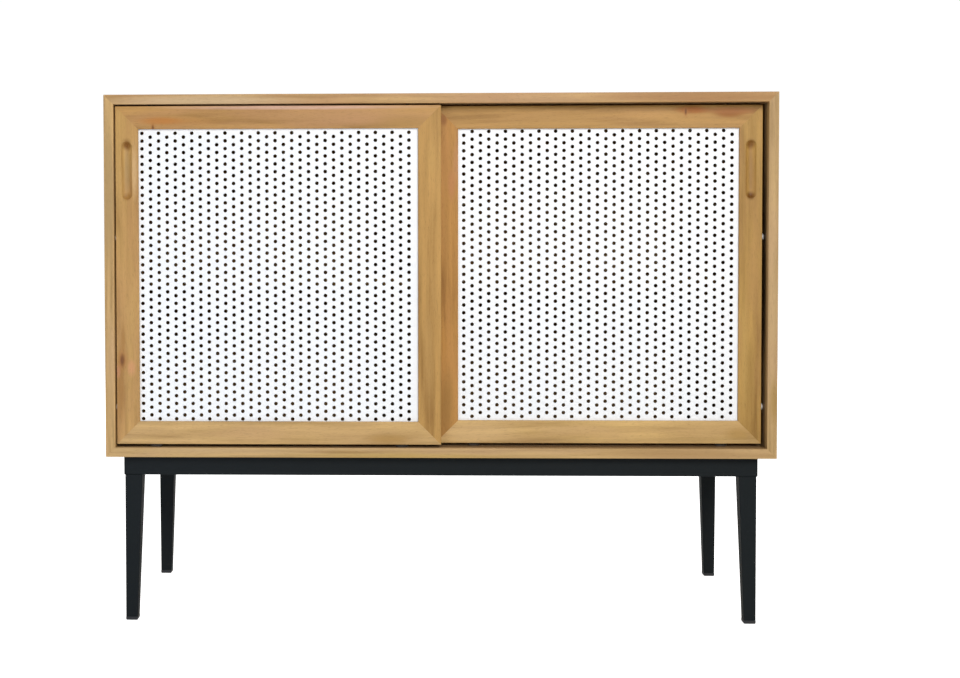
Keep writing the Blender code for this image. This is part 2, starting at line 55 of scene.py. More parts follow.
def set_camera():
    """The photograph's view: almost square on, turned a little to the left and looking slightly down."""
    place = (-0.04006, -2.8768, 0.7078)
    turn_left = Matrix.Rotation(0.0321, 4, "Z")
    look_down = Matrix.Rotation(pi / 2 - 0.0307, 4, "X")
    roll = Matrix.Rotation(-0.0018, 4, "Z")
    data = bpy.data.cameras.new("camera")
    data.lens = 55.75
    data.sensor_width = 36
    data.shift_x = 0.11591
    data.shift_y = -0.06405
    data.clip_start = 0.05
    data.clip_end = 60
    camera = bpy.data.objects.new("camera", data)
    camera.matrix_world = Matrix.Translation(place) @ turn_left @ look_down @ roll
    bpy.context.scene.collection.objects.link(camera)
    bpy.context.scene.camera = camera


set_camera()


# Materials


def linear(code, *factors):
    """An sRGB hex colour as linear red, green, blue and alpha, times one factor or one for each colour."""
    factors = factors or (1.0,)
    parts = []
    for number in range(3):
        part = int(code[2 * number:2 * number + 2], 16) / 255
        part = part / 12.92 if part <= 0.04045 else ((part + 0.055) / 1.055) ** 2.4
        parts.append(min(1.0, part * factors[number % len(factors)]))
    return (*parts, 1.0)


def node(tree, kind, settings=None, inputs=None):
    """Adds a node with its settings, and gives its inputs their values or links."""
    made = tree.nodes.new(kind)
    for key, value in (settings or {}).items():
        if key == "stops":
            elements = made.color_ramp.elements
            while len(elements) < len(value):
                elements.new(1.0)
            for element, (place, colour) in zip(elements, value):
                element.position = place
                element.color = colour
        else:
            setattr(made, key, value)
    for key, value in (inputs or {}).items():
        if isinstance(value, bpy.types.NodeSocket):
            tree.links.new(value, made.inputs[key])
        else:
            made.inputs[key].default_value = value
    return made


def new_finish(name, **constants):
    """A material whose constants sit on the shader's own sockets. Gives it with its tree and shader."""
    material = bpy.data.materials.new(name)
    material.use_nodes = True
    tree = material.node_tree
    shader = tree.nodes["Principled BSDF"]
    for key, value in constants.items():
        shader.inputs[key.replace("_", " ").title().replace("Ior", "IOR")].default_value = value
    return material, tree, shader


def per(along, across):
    """Noise scales that draw a feature as long along the grain, and as wide across it, as these mm."""
    return (1 / (along * MM), 1 / (across * MM), 1 / (across * MM))


def clouded(tree, shader, size, detail, dark, pale):
    """Turns the colour from dark to pale in soft clouds, whose size is in mm. Gives the place on the
    object and the clouds' noise."""
    place = node(tree, "ShaderNodeTexCoord").outputs["Object"]
    cloud = node(tree, "ShaderNodeTexNoise", None, {
        "Vector": place, "Scale": 1 / (size * MM), "Detail": detail}).outputs["Fac"]
    colour = node(tree, "ShaderNodeValToRGB", {"stops": ((0.3, dark), (0.7, pale))}, {0: cloud}).outputs[0]
    tree.links.new(colour, shader.inputs["Base Color"])
    return place, cloud


def vary_gloss(tree, shader, source, at_low, at_high):
    """Leads the roughness from one value to the other over the middle of a noise."""
    rough = node(tree, "ShaderNodeMapRange", None, {
        "Value": source, "From Min": 0.3, "From Max": 0.7, "To Min": at_low, "To Max": at_high}).outputs[0]
    tree.links.new(rough, shader.inputs["Roughness"])


def emboss(tree, shader, height, strength, depth):
    """Gives the surface a fine relief, whose depth is in mm."""
    bump = node(tree, "ShaderNodeBump", None, {
        "Strength": strength, "Distance": depth * MM, "Height": height}).outputs[0]
    tree.links.new(bump, shader.inputs["Normal"])


# The wood's features in mm, along the grain and across it
WANDER_SIZE = (330, 55)
WANDER_REACH = 14
CLOUD_SIZE = (190, 26)
STREAK_SIZE = (260, 12)
FIBRE_SIZE = (60, 1.4)
PORE_SIZE = (12, 0.45)
BAND_SPACING = 9
# The wave texture's rings lie this far apart at scale 1
WAVE_PERIOD = 0.31416


def split_into_staves(tree, plank, width):
    """Cuts the wood into staves of this width in mm, each from another stretch of the log. Gives the new
    place in the wood and each stave's own tone, from 0 to 1."""
    first_joint = 0.37
    longest_stretch = 9.0
    parts = node(tree, "ShaderNodeSeparateXYZ", None, {0: plank}).outputs
    share = node(tree, "ShaderNodeMath", {"operation": "MULTIPLY_ADD"}, {
        0: parts["Y"], 1: 1 / (width * MM), 2: first_joint}).outputs[0]
    number = node(tree, "ShaderNodeMath", {"operation": "FLOOR"}, {0: share}).outputs[0]
    tone = node(tree, "ShaderNodeTexWhiteNoise", {"noise_dimensions": "1D"}, {
        "W": number}).outputs["Value"]
    rest = node(tree, "ShaderNodeMath", {"operation": "SUBTRACT"}, {0: share, 1: number}).outputs[0]
    local = node(tree, "ShaderNodeMath", {"operation": "MULTIPLY_ADD"}, {
        0: rest, 1: width * MM, 2: -0.5 * width * MM}).outputs[0]
    along = node(tree, "ShaderNodeMath", {"operation": "MULTIPLY_ADD"}, {
        0: tone, 1: longest_stretch, 2: parts["X"]}).outputs[0]
    moved = node(tree, "ShaderNodeCombineXYZ", None, {"X": along, "Y": local, "Z": parts["Z"]}).outputs[0]
    return moved, tone


def let_grain_wander(tree, plank):
    """Swings the grain to and fro over a board's length. Gives the new place in the wood, a slow noise
    that goes with it, and the swing itself, around zero."""
    slow = node(tree, "ShaderNodeVectorMath", {"operation": "MULTIPLY"}, {
        0: plank, 1: per(*WANDER_SIZE)}).outputs[0]
    drift = node(tree, "ShaderNodeTexNoise", None, {
        "Vector": slow, "Scale": 1, "Detail": 3, "Roughness": 0.5}).outputs
    swing = node(tree, "ShaderNodeVectorMath", {"operation": "SUBTRACT"}, {
        0: drift["Color"], 1: (0.5, 0.5, 0.5)}).outputs[0]
    flow = node(tree, "ShaderNodeVectorMath", {"operation": "MULTIPLY_ADD"}, {
        0: swing, 1: (0, WANDER_REACH * MM, WANDER_REACH * MM), 2: plank}).outputs[0]
    return flow, drift["Fac"], swing


def bend_round_knot(tree, flow, heart, radius):
    """Leads the grain round a knot, whose heart is a place in the wood and whose radius is in mm."""
    away = node(tree, "ShaderNodeVectorMath", {"operation": "SUBTRACT"}, {0: flow, 1: heart}).outputs[0]
    near = node(tree, "ShaderNodeVectorMath", {"operation": "MULTIPLY"}, {
        0: away, 1: per(radius * 2.6, radius)}).outputs[0]
    far = node(tree, "ShaderNodeVectorMath", {"operation": "LENGTH"}, {0: near}).outputs["Value"]
    pull = node(tree, "ShaderNodeMapRange", {"interpolation_type": "SMOOTHSTEP"}, {
        "Value": far, "From Min": 0.0, "From Max": 4.5, "To Min": -0.8, "To Max": 0.0}).outputs[0]
    inwards = node(tree, "ShaderNodeVectorMath", {"operation": "MULTIPLY"}, {
        0: away, 1: (0, 1, 1)}).outputs[0]
    moved = node(tree, "ShaderNodeVectorMath", {"operation": "SCALE"}, {
        0: inwards, "Scale": pull}).outputs[0]
    return node(tree, "ShaderNodeVectorMath", {"operation": "ADD"}, {0: flow, 1: moved}).outputs[0]


def growth_figure(tree, flow, drift, stave_tone):
    """Adds up streaks, drift, growth bands, fibres and the staves' tones. Gives how light the wood is at
    each place, and the noise of its fibres and of its pores."""
    bands = node(tree, "ShaderNodeTexWave", {
        "wave_type": "RINGS", "rings_direction": "X", "wave_profile": "SIN"}, {
        "Vector": flow, "Scale": WAVE_PERIOD / (BAND_SPACING * MM), "Distortion": 1.2, "Detail": 1,
        "Detail Scale": 0.4}).outputs["Fac"]
    layers = []
    for size, detail in ((STREAK_SIZE, 2), (FIBRE_SIZE, 3), (PORE_SIZE, 1)):
        stretched = node(tree, "ShaderNodeVectorMath", {"operation": "MULTIPLY"}, {
            0: flow, 1: per(*size)}).outputs[0]
        layers.append(node(tree, "ShaderNodeTexNoise", None, {
            "Vector": stretched, "Scale": 1, "Detail": detail, "Roughness": 0.55}).outputs["Fac"])
    streaks, fibres, fine = layers
    lightness = -0.72
    for part, weight in (
        (streaks, 1.3), (drift, 0.64), (bands, 0.20), (fibres, 0.36), (stave_tone, 0.34),
    ):
        lightness = node(tree, "ShaderNodeMath", {"operation": "MULTIPLY_ADD"}, {
            0: part, 1: weight, 2: lightness}).outputs[0]
    return lightness, fibres, fine


def add_clouds(tree, colour, flow, blush, most):
    """Clouds the wood with a pinkish tint, at most by this share."""
    moved = node(tree, "ShaderNodeVectorMath", {"operation": "MULTIPLY_ADD"}, {
        0: flow, 1: per(*CLOUD_SIZE), 2: (3.1, 5.7, 1.3)}).outputs[0]
    cloud = node(tree, "ShaderNodeTexNoise", None, {
        "Vector": moved, "Scale": 1, "Detail": 2}).outputs["Fac"]
    share = node(tree, "ShaderNodeMapRange", {"interpolation_type": "SMOOTHSTEP"}, {
        "Value": cloud, "From Min": 0.42, "From Max": 0.68, "To Min": 0.0, "To Max": most}).outputs[0]
    return node(tree, "ShaderNodeMix", {"data_type": "RGBA"}, {
        0: share, 6: colour, 7: linear(blush)}).outputs[2]


def add_mark(tree, colour, place, swing, fibres, mark):
    """Tints one ragged patch with a soft edge, which is streaked along the fibres."""
    centre, half_sizes, tint, strength = mark
    scale = Vector([1 / (size * MM) for size in half_sizes])
    shift = Vector([-part * MM * factor for part, factor in zip(centre, scale)])
    local = node(tree, "ShaderNodeMapping", None, {
        "Vector": place, "Location": shift, "Scale": scale}).outputs[0]
    ragged = node(tree, "ShaderNodeVectorMath", {"operation": "MULTIPLY_ADD"}, {
        0: swing, 1: (0.9, 0.9, 0.9), 2: local}).outputs[0]
    far = node(tree, "ShaderNodeVectorMath", {"operation": "LENGTH"}, {0: ragged}).outputs["Value"]
    share = node(tree, "ShaderNodeMapRange", {"interpolation_type": "SMOOTHSTEP"}, {
        "Value": far, "From Min": 1.15, "From Max": 0.25, "To Min": 0.0, "To Max": strength}).outputs[0]
    streaked = node(tree, "ShaderNodeMath", {"operation": "MULTIPLY_ADD"}, {
        0: fibres, 1: 0.8, 2: 0.6}).outputs[0]
    share = node(tree, "ShaderNodeMath", {"operation": "MULTIPLY", "use_clamp": True}, {
        0: share, 1: streaked}).outputs[0]
    return node(tree, "ShaderNodeMix", {"data_type": "RGBA"}, {
        0: share, 6: colour, 7: linear(tint)}).outputs[2]


def knot_marks(centre, radius):
    """A knot as two marks: a brown halo and a dark eye."""
    return (
        (centre, (radius * 1.8, 60, radius * 4.2), "A46C34", 0.6),
        (centre, (radius * 0.9, 60, radius * 2.5), "70431A", 0.95),
    )


def mango(name, at, grain, tone, blush, blush_share, heart, lean, seed, stave=0.0, knots=(), marks=()):
    """Mango wood, planed and sanded, under a thin clear satin lacquer. The eye gets a pale golden brown with
    long soft streaks, faint growth bands that run out in arches where the board isn't parallel to the
    heart, pinkish clouds, short fine pores and now and then a knot.
    at is the piece's middle, grain is the axis that it runs along, and heart is how far the tree's heart
    lies from the middle, across and behind, in mm. lean turns it by these degrees. Wide boards are glued
    up from staves of the given width in mm. Knots are (centre, radius); marks are (centre, half sizes,
    colour, strength)."""
    material, tree, shader = new_finish(name, specular_ior_level=0.22, coat_weight=0.05, coat_roughness=0.3)
    turn = Euler((0, radians(lean[0]), radians(lean[1]))).to_matrix()
    if grain == "Z":
        turn = turn @ Matrix.Rotation(pi / 2, 3, "Y")
    across = (heart[0], heart[1], 0) if grain == "Z" else (0, heart[1], heart[0])
    offset = -(turn @ (at + Vector(across) * MM)) + Vector((seed, 0, 0))
    place = node(tree, "ShaderNodeTexCoord").outputs["Object"]
    plank = node(tree, "ShaderNodeMapping", None, {
        "Vector": place, "Location": offset, "Rotation": turn.to_euler()}).outputs[0]
    stave_tone = 0.0
    if stave:
        plank, stave_tone = split_into_staves(tree, plank, stave)
    flow, drift, swing = let_grain_wander(tree, plank)
    for centre, radius in knots:
        flow = bend_round_knot(tree, flow, turn @ (Vector(centre) * MM) + offset, radius)

    lightness, fibres, fine = growth_figure(tree, flow, drift, stave_tone)
    colour = node(tree, "ShaderNodeValToRGB", {"stops": (
        (0.10, linear(tone, 0.64, 0.58, 0.48)),
        (0.52, linear(tone)),
        (0.94, linear(tone, 1.26, 1.28, 1.34)),
    )}, {0: lightness}).outputs[0]
    colour = add_clouds(tree, colour, flow, blush, blush_share)
    # Marks are patches of other tone, and on some pieces painted shade and painted highlights
    for mark in marks:
        colour = add_mark(tree, colour, place, swing, fibres, mark)
    for centre, radius in knots:
        for mark in knot_marks(centre, radius):
            colour = add_mark(tree, colour, place, swing, fibres, mark)

    # Pores are short dark dashes
    pores = node(tree, "ShaderNodeMapRange", None, {
        "Value": fine, "From Min": 0.60, "From Max": 0.74, "To Min": 0.0, "To Max": 0.5}).outputs[0]
    colour = node(tree, "ShaderNodeMix", {"data_type": "RGBA"}, {
        0: pores, 6: colour, 7: linear(tone, 0.35)}).outputs[2]
    tree.links.new(colour, shader.inputs["Base Color"])
    vary_gloss(tree, shader, fibres, 0.54, 0.42)
    height = node(tree, "ShaderNodeMath", {"operation": "SUBTRACT"}, {0: fibres, 1: pores}).outputs[0]
    emboss(tree, shader, height, 0.35, 0.12)
    return material


def powder_coat(name, code, roughness, variation, gloss=0.5):
    """Steel under a baked polyester powder coat. The eye gets an even, opaque satin colour whose surface
    has the fine dimples of orange peel, about 1.5 mm apart, which break up the highlights."""
    material, tree, shader = new_finish(name, roughness=roughness, specular_ior_level=gloss)
    place, haze = clouded(tree, shader, 70, 3, linear(code, 1 - variation), linear(code, 1 + variation))
    vary_gloss(tree, shader, haze, roughness - 0.04, roughness + 0.05)
    peel = node(tree, "ShaderNodeTexNoise", None, {
        "Vector": place, "Scale": 1 / (1.5 * MM), "Detail": 2, "Roughness": 0.45}).outputs["Fac"]
    emboss(tree, shader, peel, 0.25, 0.08)
    return material


def zinc_plate():
    """Zinc plated steel, passivated: a bluish grey metal with a soft gloss and faint cloudy patches."""
    material, tree, shader = new_finish("zinc_plated_steel", metallic=1.0)
    cloud = clouded(tree, shader, 6, 4, linear("A9AFB4"), linear("CDD0D2"))[1]
    vary_gloss(tree, shader, cloud, 0.42, 0.28)
    return material


def moulded(name, code, roughness, grit, subsurface=0.0):
    """A moulded plastic. The eye gets one even colour with slight flow clouds and a fine spark-eroded
    texture, whose grit is in mm. Nylon and soft vinyl let a little light into them."""
    material, tree, shader = new_finish(
        name, roughness=roughness, subsurface_weight=subsurface, subsurface_radius=(1.0, 0.8, 0.6),
        subsurface_scale=1.5 * MM)
    place = clouded(tree, shader, 9, 2, linear(code, 0.92), linear(code, 1.06))[0]
    grain = node(tree, "ShaderNodeTexNoise", None, {
        "Vector": place, "Scale": 1 / (grit * MM), "Detail": 1}).outputs["Fac"]
    emboss(tree, shader, grain, 0.2, 0.05)
    return material


BLACK_STEEL = powder_coat("black_powder_coated_steel", "0E1416", 0.55, 0.08, 0.15)
WHITE_STEEL = powder_coat("white_powder_coated_steel", "E9EAEA", 0.45, 0.006)
ZINC = zinc_plate()
TRACK_PLASTIC = moulded("light_brown_extruded_vinyl", "8A6B45", 0.42, 0.6)
GLIDE_PLASTIC = moulded("black_polyethylene", "202022", 0.55, 0.5)
NYLON = moulded("brown_nylon", "3A2E22", 0.6, 0.7, 0.1)
BUMPER_PLASTIC = moulded("clear_beige_soft_vinyl", "F4EEE9", 0.4, 0.5, 0.1)


# Making and finishing pieces


def box_of(low, high, grow=(0, 0, 0)):
    """A block between two corners, made larger by these metres on both sides of each axis."""
    low = Vector(low) - Vector(grow)
    high = Vector(high) + Vector(grow)
    bm = bmesh.new()
    size = Matrix.Diagonal((*(high - low), 1.0))
    bmesh.ops.create_cube(bm, size=1.0, matrix=Matrix.Translation((low + high) / 2) @ size)
    return bm


def ease(bm, edges, radius, steps=3):
    """Rounds edges over, as sandpaper or a bending die does."""
    bmesh.ops.bevel(bm, geom=edges, offset=radius, segments=steps, profile=0.5, affect="EDGES", material=-1)


def bar(low, high, run, radius):
    """A bar with its long edges rounded over; run is the axis that it runs along."""
    bm = box_of(low, high)
    ease(bm, [edge for edge in bm.edges if abs((edge.verts[0].co - edge.verts[1].co)[run]) > 1e-6], radius)
    return bm


def saw(bm, point, outwards):
    """Saws off what lies beyond a plane and closes the cut."""
    cut = bmesh.ops.bisect_plane(
        bm, geom=bm.verts[:] + bm.edges[:] + bm.faces[:], plane_co=point, plane_no=outwards, clear_outer=True,
        dist=1e-7)
    rim = [item for item in cut["geom_cut"] if isinstance(item, bmesh.types.BMEdge)]
    bmesh.ops.edgeloop_fill(bm, edges=rim)


def mitred_bar(low, high, run, across, inwards, radius, nip=0.5 * MM, closed=0.0):
    """A bar mitred at both ends for a frame; inwards is +1 or -1, the way to the frame's middle along
    across. The sharp outer tips are nipped off, as sanding leaves them. closed is how much longer each
    end is than the CAD's, whose joints stand a little open."""
    low[run] -= closed
    high[run] += closed
    bm = bar(low, high, run, radius)
    outer = high[across] if inwards < 0 else low[across]
    for end, way in ((low[run], -1), (high[run], 1)):
        point = (low + high) / 2
        point[run] = end
        point[across] = outer
        mitre = Vector()
        mitre[run] = way
        mitre[across] = inwards
        saw(bm, point, mitre)
        tip = Vector()
        tip[run] = way
        tip[across] = -inwards
        saw(bm, point - tip.normalized() * nip, tip)
    return bm


# How much longer each end is than in the CAD, where the joints stand open by their clearance
JOINT_TAKEN_UP = {X: 0.0, Y: 0.35 * MM, Z: 0.35 * MM}


def turned(profile, axis, place, sides=32):
    """Spins (distance along the axis, radius) points, in mm, round an axis; both ends are on it."""
    axis = Vector(axis)
    side = Vector((0, 0, 1)) if abs(axis.z) < 0.5 else Vector((1, 0, 0))
    bm = bmesh.new()
    verts = [bm.verts.new((axis * along + side * radius) * MM) for along, radius in profile]
    edges = [bm.edges.new(pair) for pair in zip(verts, verts[1:])]
    bmesh.ops.spin(
        bm, geom=verts + edges, cent=(0, 0, 0), axis=axis, angle=2 * pi, steps=sides, use_merge=True)
    bmesh.ops.remove_doubles(bm, verts=bm.verts[:], dist=1e-6)
    bmesh.ops.translate(bm, verts=bm.verts[:], vec=place)
    return bm


def rounded(along, radius, corner, way, steps=4):
    """Profile points for a rounded rim: a quarter circle at a rod's end. way is +1 where the rod ends
    there and -1 where it begins."""
    points = []
    for step in range(steps + 1):
        angle = pi / 2 * step / steps
        points.append((along - way * corner * (1 - sin(angle)), radius - corner * (1 - cos(angle))))
    return points if way > 0 else points[::-1]


def settle(item):
    """Applies an object's modifiers for good."""
    graph = bpy.context.evaluated_depsgraph_get()
    mesh = bpy.data.meshes.new_from_object(
        item.evaluated_get(graph), preserve_all_data_layers=True, depsgraph=graph)
    item.modifiers.clear()
    item.data = mesh
    mesh.name = item.name


def piece(name, bm, body, material, stands_for=(), cutters=(), sharp=35, even=True):
    """Makes a finished piece of a bmesh: cuts it, shades its rounded edges smooth, and lets it ride its
    body. Edges sharper than sharp, in degrees, stay crisp. even turns the normals of the narrow faces
    towards their large neighbours', so that flat faces look flat."""
    def link(title, shape):
        bmesh.ops.recalc_face_normals(shape, faces=shape.faces[:])
        mesh = bpy.data.meshes.new(title)
        shape.to_mesh(mesh)
        shape.free()
        item = bpy.data.objects.new(title, mesh)
        bpy.context.scene.collection.objects.link(item)
        return item

    item = link(name, bm)
    tools = []
    for number, cutter in enumerate(cutters):
        tool = link(f"{name}_cutter_{number}", cutter)
        modifier = item.modifiers.new(tool.name, "BOOLEAN")
        modifier.operation = "DIFFERENCE"
        modifier.solver = "EXACT"
        modifier.object = tool
        tools.append(tool)
    if tools:
        settle(item)
        for tool in tools:
            bpy.data.objects.remove(tool, do_unlink=True)
    item.data.shade_smooth()
    item.data.set_sharp_from_angle(angle=radians(sharp))
    if even:
        modifier = item.modifiers.new("normals", "WEIGHTED_NORMAL")
        modifier.keep_sharp = True
        settle(item)
    item.data.materials.clear()
    item.data.materials.append(material)
    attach(item, body)
    if stands_for:
        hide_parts(*stands_for)


def finish_cad(name, material):
    """Gives one of the CAD's own meshes its finish."""
    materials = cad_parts[name].data.materials
    materials.clear()
    materials.append(material)


def middle(name):
    """The middle of a CAD node's box."""
    low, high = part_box(name)
    return (low + high) / 2


# Case: mitred boards 17.5 mm thick, glued up from staves

# The staves' width and the heart's place in mm, and the boards' lean in degrees, as mango takes them
STAVE_WIDTH = 92
BOARD_HEART = (75, 0)
BOARD_LEAN = (0.4, 0.5)
OUTER_EASE = 0.9 * MM
INNER_EASE = 0.7 * MM
VENEER_EASE = 0.3 * MM
# The room round a piece that sits in a hole, a groove or a rebate, in mm
CLEARANCE = 0.3
ROOM = (CLEARANCE * MM, CLEARANCE * MM, CLEARANCE * MM)

# Tone, blush, the blush's share and the seed, which says what part of the log a board comes from
CASE_TONES = {
    "top_panel": ("B38F5D", "AE835B", 0.55, 0.6),
    "bottom_panel": ("B69561", "B39068", 0.6, 3.9),
    "left_side": ("B5925D", "B8946A", 0.5, 5.2),
    "right_side": ("AE8E5E", "B4926B", 0.6, 8.8),
    "centre_partition": ("AD8A55", "A87E54", 0.4, 11.1),
    "left_shelf": ("B08B56", "A87E54", 0.4, 13.7),
    "right_shelf": ("AE8954", "A87E54", 0.4, 17.3),
}
# Patches of other tone on the boards' front edges, and on the right board's inner face a painted shade
CASE_MARKS_AND_PAINTED_SHADE = {
    "top_panel": (
        ((-430, -225, 941), (190, 30, 14), "C3A882", 0.7),
        ((130, -225, 941), (160, 30, 12), "AB835D", 0.6),
        ((450, -225, 946), (230, 30, 14), "9C7040", 0.85),
    ),
    "bottom_panel": (
        ((-380, -225, 314), (190, 30, 8), "BC9C70", 0.6),
        ((-60, -225, 306), (240, 30, 6), "B39250", 0.6),
        ((440, -225, 312), (220, 30, 13), "A17F51", 0.85),
    ),
    "left_side": (((-592, -225, 790), (14, 30, 150), "A58757", 0.85),),
    "right_side": (
        ((592, -225, 560), (12, 30, 110), "B7986D", 0.6),
        ((594, -225, 405), (9, 30, 45), "9B7B43", 0.7),
        # Painted shade: a near black strip on the right board's inner face, just in front of the right door,
        # stands in for the shadow in the gap beside that door
        ((582.5, -198, 620), (5, 22, 420), "140903", 0.95),
    ),
}


def pin_hole(name, wall_x):
    """A blind hole for a shelf pin, in the board whose face is at wall_x."""
    low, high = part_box(name)
    place = (low + high) / 2
    radius = (high.z - low.z) / 2 / MM + CLEARANCE
    inner, outer = (low.x, high.x) if abs(high.x - wall_x) > abs(low.x - wall_x) else (high.x, low.x)
    way = 1 if inner > outer else -1
    place.x = wall_x
    reach = abs(inner - wall_x) / MM + CLEARANCE
    return turned([(-1, 0), (-1, radius), (reach, radius), (reach, 0)], (way, 0, 0), place, 16)


def board_wood(name, run):
    """The wood of one board, from its own part of the log."""
    tone, blush, blush_share, seed = CASE_TONES[name]
    return mango(
        name + "_mango", middle(name), "XYZ"[run], tone, blush, blush_share, BOARD_HEART, BOARD_LEAN, seed,
        STAVE_WIDTH, marks=CASE_MARKS_AND_PAINTED_SHADE.get(name, ()))


def make_outer_boards():
    """Four mitred boards, with a rebate for the back, grooves for the tracks and holes for the pins."""
    back_low, back_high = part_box("back_panel")
    rebate_low = back_low - Vector((CLEARANCE, CLEARANCE, CLEARANCE)) * MM
    rebate_high = back_high + Vector((CLEARANCE, 2, CLEARANCE)) * MM
    for name, run, across, inwards in (
        ("top_panel", X, Z, -1),
        ("bottom_panel", X, Z, 1),
        ("left_side", Z, X, 1),
        ("right_side", Z, X, -1),
    ):
        cutters = [box_of(rebate_low, rebate_high)]
        if run == X:
            cutters.append(box_of(*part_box(name.replace("panel", "track")), ROOM))
        else:
            bay = name.split("_")[0]
            wall_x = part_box(name)[1 if bay == "left" else 0].x
            cutters += [pin_hole(f"{bay}_shelf_pin_{number}", wall_x) for number in (1, 2)]
        bm = mitred_bar(*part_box(name), run, across, inwards, OUTER_EASE, closed=JOINT_TAKEN_UP[run])
        piece(name + "_board", bm, "carcass", board_wood(name, run), (name,), cutters)


def make_inner_boards():
    """The partition behind the doors, with holes for the pins, and a shelf in each bay."""
    partition_low, partition_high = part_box("centre_partition")
    holes = [pin_hole(f"left_shelf_pin_{number}", partition_low.x) for number in (3, 4)]
    holes += [pin_hole(f"right_shelf_pin_{number}", partition_high.x) for number in (3, 4)]
    for name, run, cutters in (("centre_partition", Z, holes), ("left_shelf", X, ()), ("right_shelf", X, ())):
        bm = box_of(*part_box(name))
        ease(bm, bm.edges[:], INNER_EASE, 2)
        piece(name + "_board", bm, "carcass", board_wood(name, run), (name,), cutters)


def make_back():
    """Rotary cut plywood, so its grain is broad and its arches wide."""
    veneer = mango(
        "back_veneer", middle("back_panel"), "X", "B9935F", "B08458", 0.35, (0, 160), (1.2, 1.0), 21.0)
    bm = box_of(*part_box("back_panel"))
    ease(bm, bm.edges[:], VENEER_EASE, 1)
    piece("back_board", bm, "carcass", veneer, ("back_panel",))


def make_shelf_pins():
    """Eight turned pins, each rounded more at the end that its shelf lies on."""
    for bay, way in (("left", 1), ("right", -1)):
        for number in (1, 2, 3, 4):
            name = f"{bay}_shelf_pin_{number}"
            low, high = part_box(name)
            radius = (high.z - low.z) / 2 / MM
            half = (high.x - low.x) / 2 / MM
            profile = [
                (-half, 0), *rounded(-half, radius, 0.4, -1), *rounded(half, radius, 0.9, 1), (half, 0)]
            rod = turned(profile, (way if number < 3 else -way, 0, 0), middle(name))
            piece(name + "_rod", rod, "carcass", ZINC, (name,))


def make_case():
    """The boards, the back, the doors' two tracks and the shelf pins."""
    make_outer_boards()
    make_inner_boards()
    make_back()
    finish_cad("top_track", TRACK_PLASTIC)
    finish_cad("bottom_track", TRACK_PLASTIC)
    make_shelf_pins()


# Doors: mitred frames of 41 by 20 mm, each round one punched sheet

MEMBER_EASE = 1.1 * MM
# The sheet's groove in the frame, deeper than the sheet reaches
SHEET_ROOM = (0.5 * MM, CLEARANCE * MM, 0.5 * MM)

PULL_BELOW_DOOR_TOP = 63 * MM
PULL_LENGTH = 104 * MM
PULL_RADIUS = 9.2 * MM
PULL_DEPTH = 5 * MM
PULL_RIM = 0.5 * MM

HOLE_RADIUS = 3.4 * MM
HOLE_PITCH_X = 14.985 * MM
HOLE_PITCH_Z = 13.9 * MM
HOLE_SIDES = 16
HOLE_COLUMNS = 33
HOLE_ROWS = 38
# The first column's middle, the top hole's, and whether the first column is a full one of 38 holes
# or lies half a pitch lower with 37, as the photograph shows them
HOLES_START = {
    "left_door": (-532.9 * MM, 885.4 * MM, True),
    "right_door": (45.3 * MM, 888.1 * MM, False),
}

# Tone, blush, the blush's share, the heart, the lean and the seed
DOOR_TONES = {
    "left_door_outer_stile": ("B28B4F", "B28153", 0.35, (12, 48), (0.8, 1.0), 31.0),
    "left_door_inner_stile": ("AD8447", "A87E42", 0.30, (-6, 62), (0.5, 0.7), 33.4),
    "left_door_top_rail": ("A77E46", "B08255", 0.55, (8, 44), (0.6, 1.1), 36.2),
    "left_door_bottom_rail": ("B7945E", "B38F61", 0.40, (-14, 66), (0.5, 0.8), 39.5),
    "right_door_inner_stile": ("A9793A", "AE7C42", 0.50, (4, 52), (0.6, 0.9), 41.3),
    "right_door_outer_stile": ("AA8444", "A77C4C", 0.40, (-10, 46), (0.7, 1.0), 44.9),
    "right_door_top_rail": ("A98044", "AB7F4A", 0.35, (10, 50), (0.9, 0.9), 47.1),
    "right_door_bottom_rail": ("BC995F", "BB9665", 0.40, (-6, 58), (0.5, 1.2), 52.8),
}
DOOR_KNOTS = {
    "left_door_outer_stile": (((-569.5, -219, 477), 6.0),),
    "right_door_top_rail": (((441, -190, 921), 3.0),),
    "left_door_top_rail": (((-512, -212, 893), 3.0),),
}
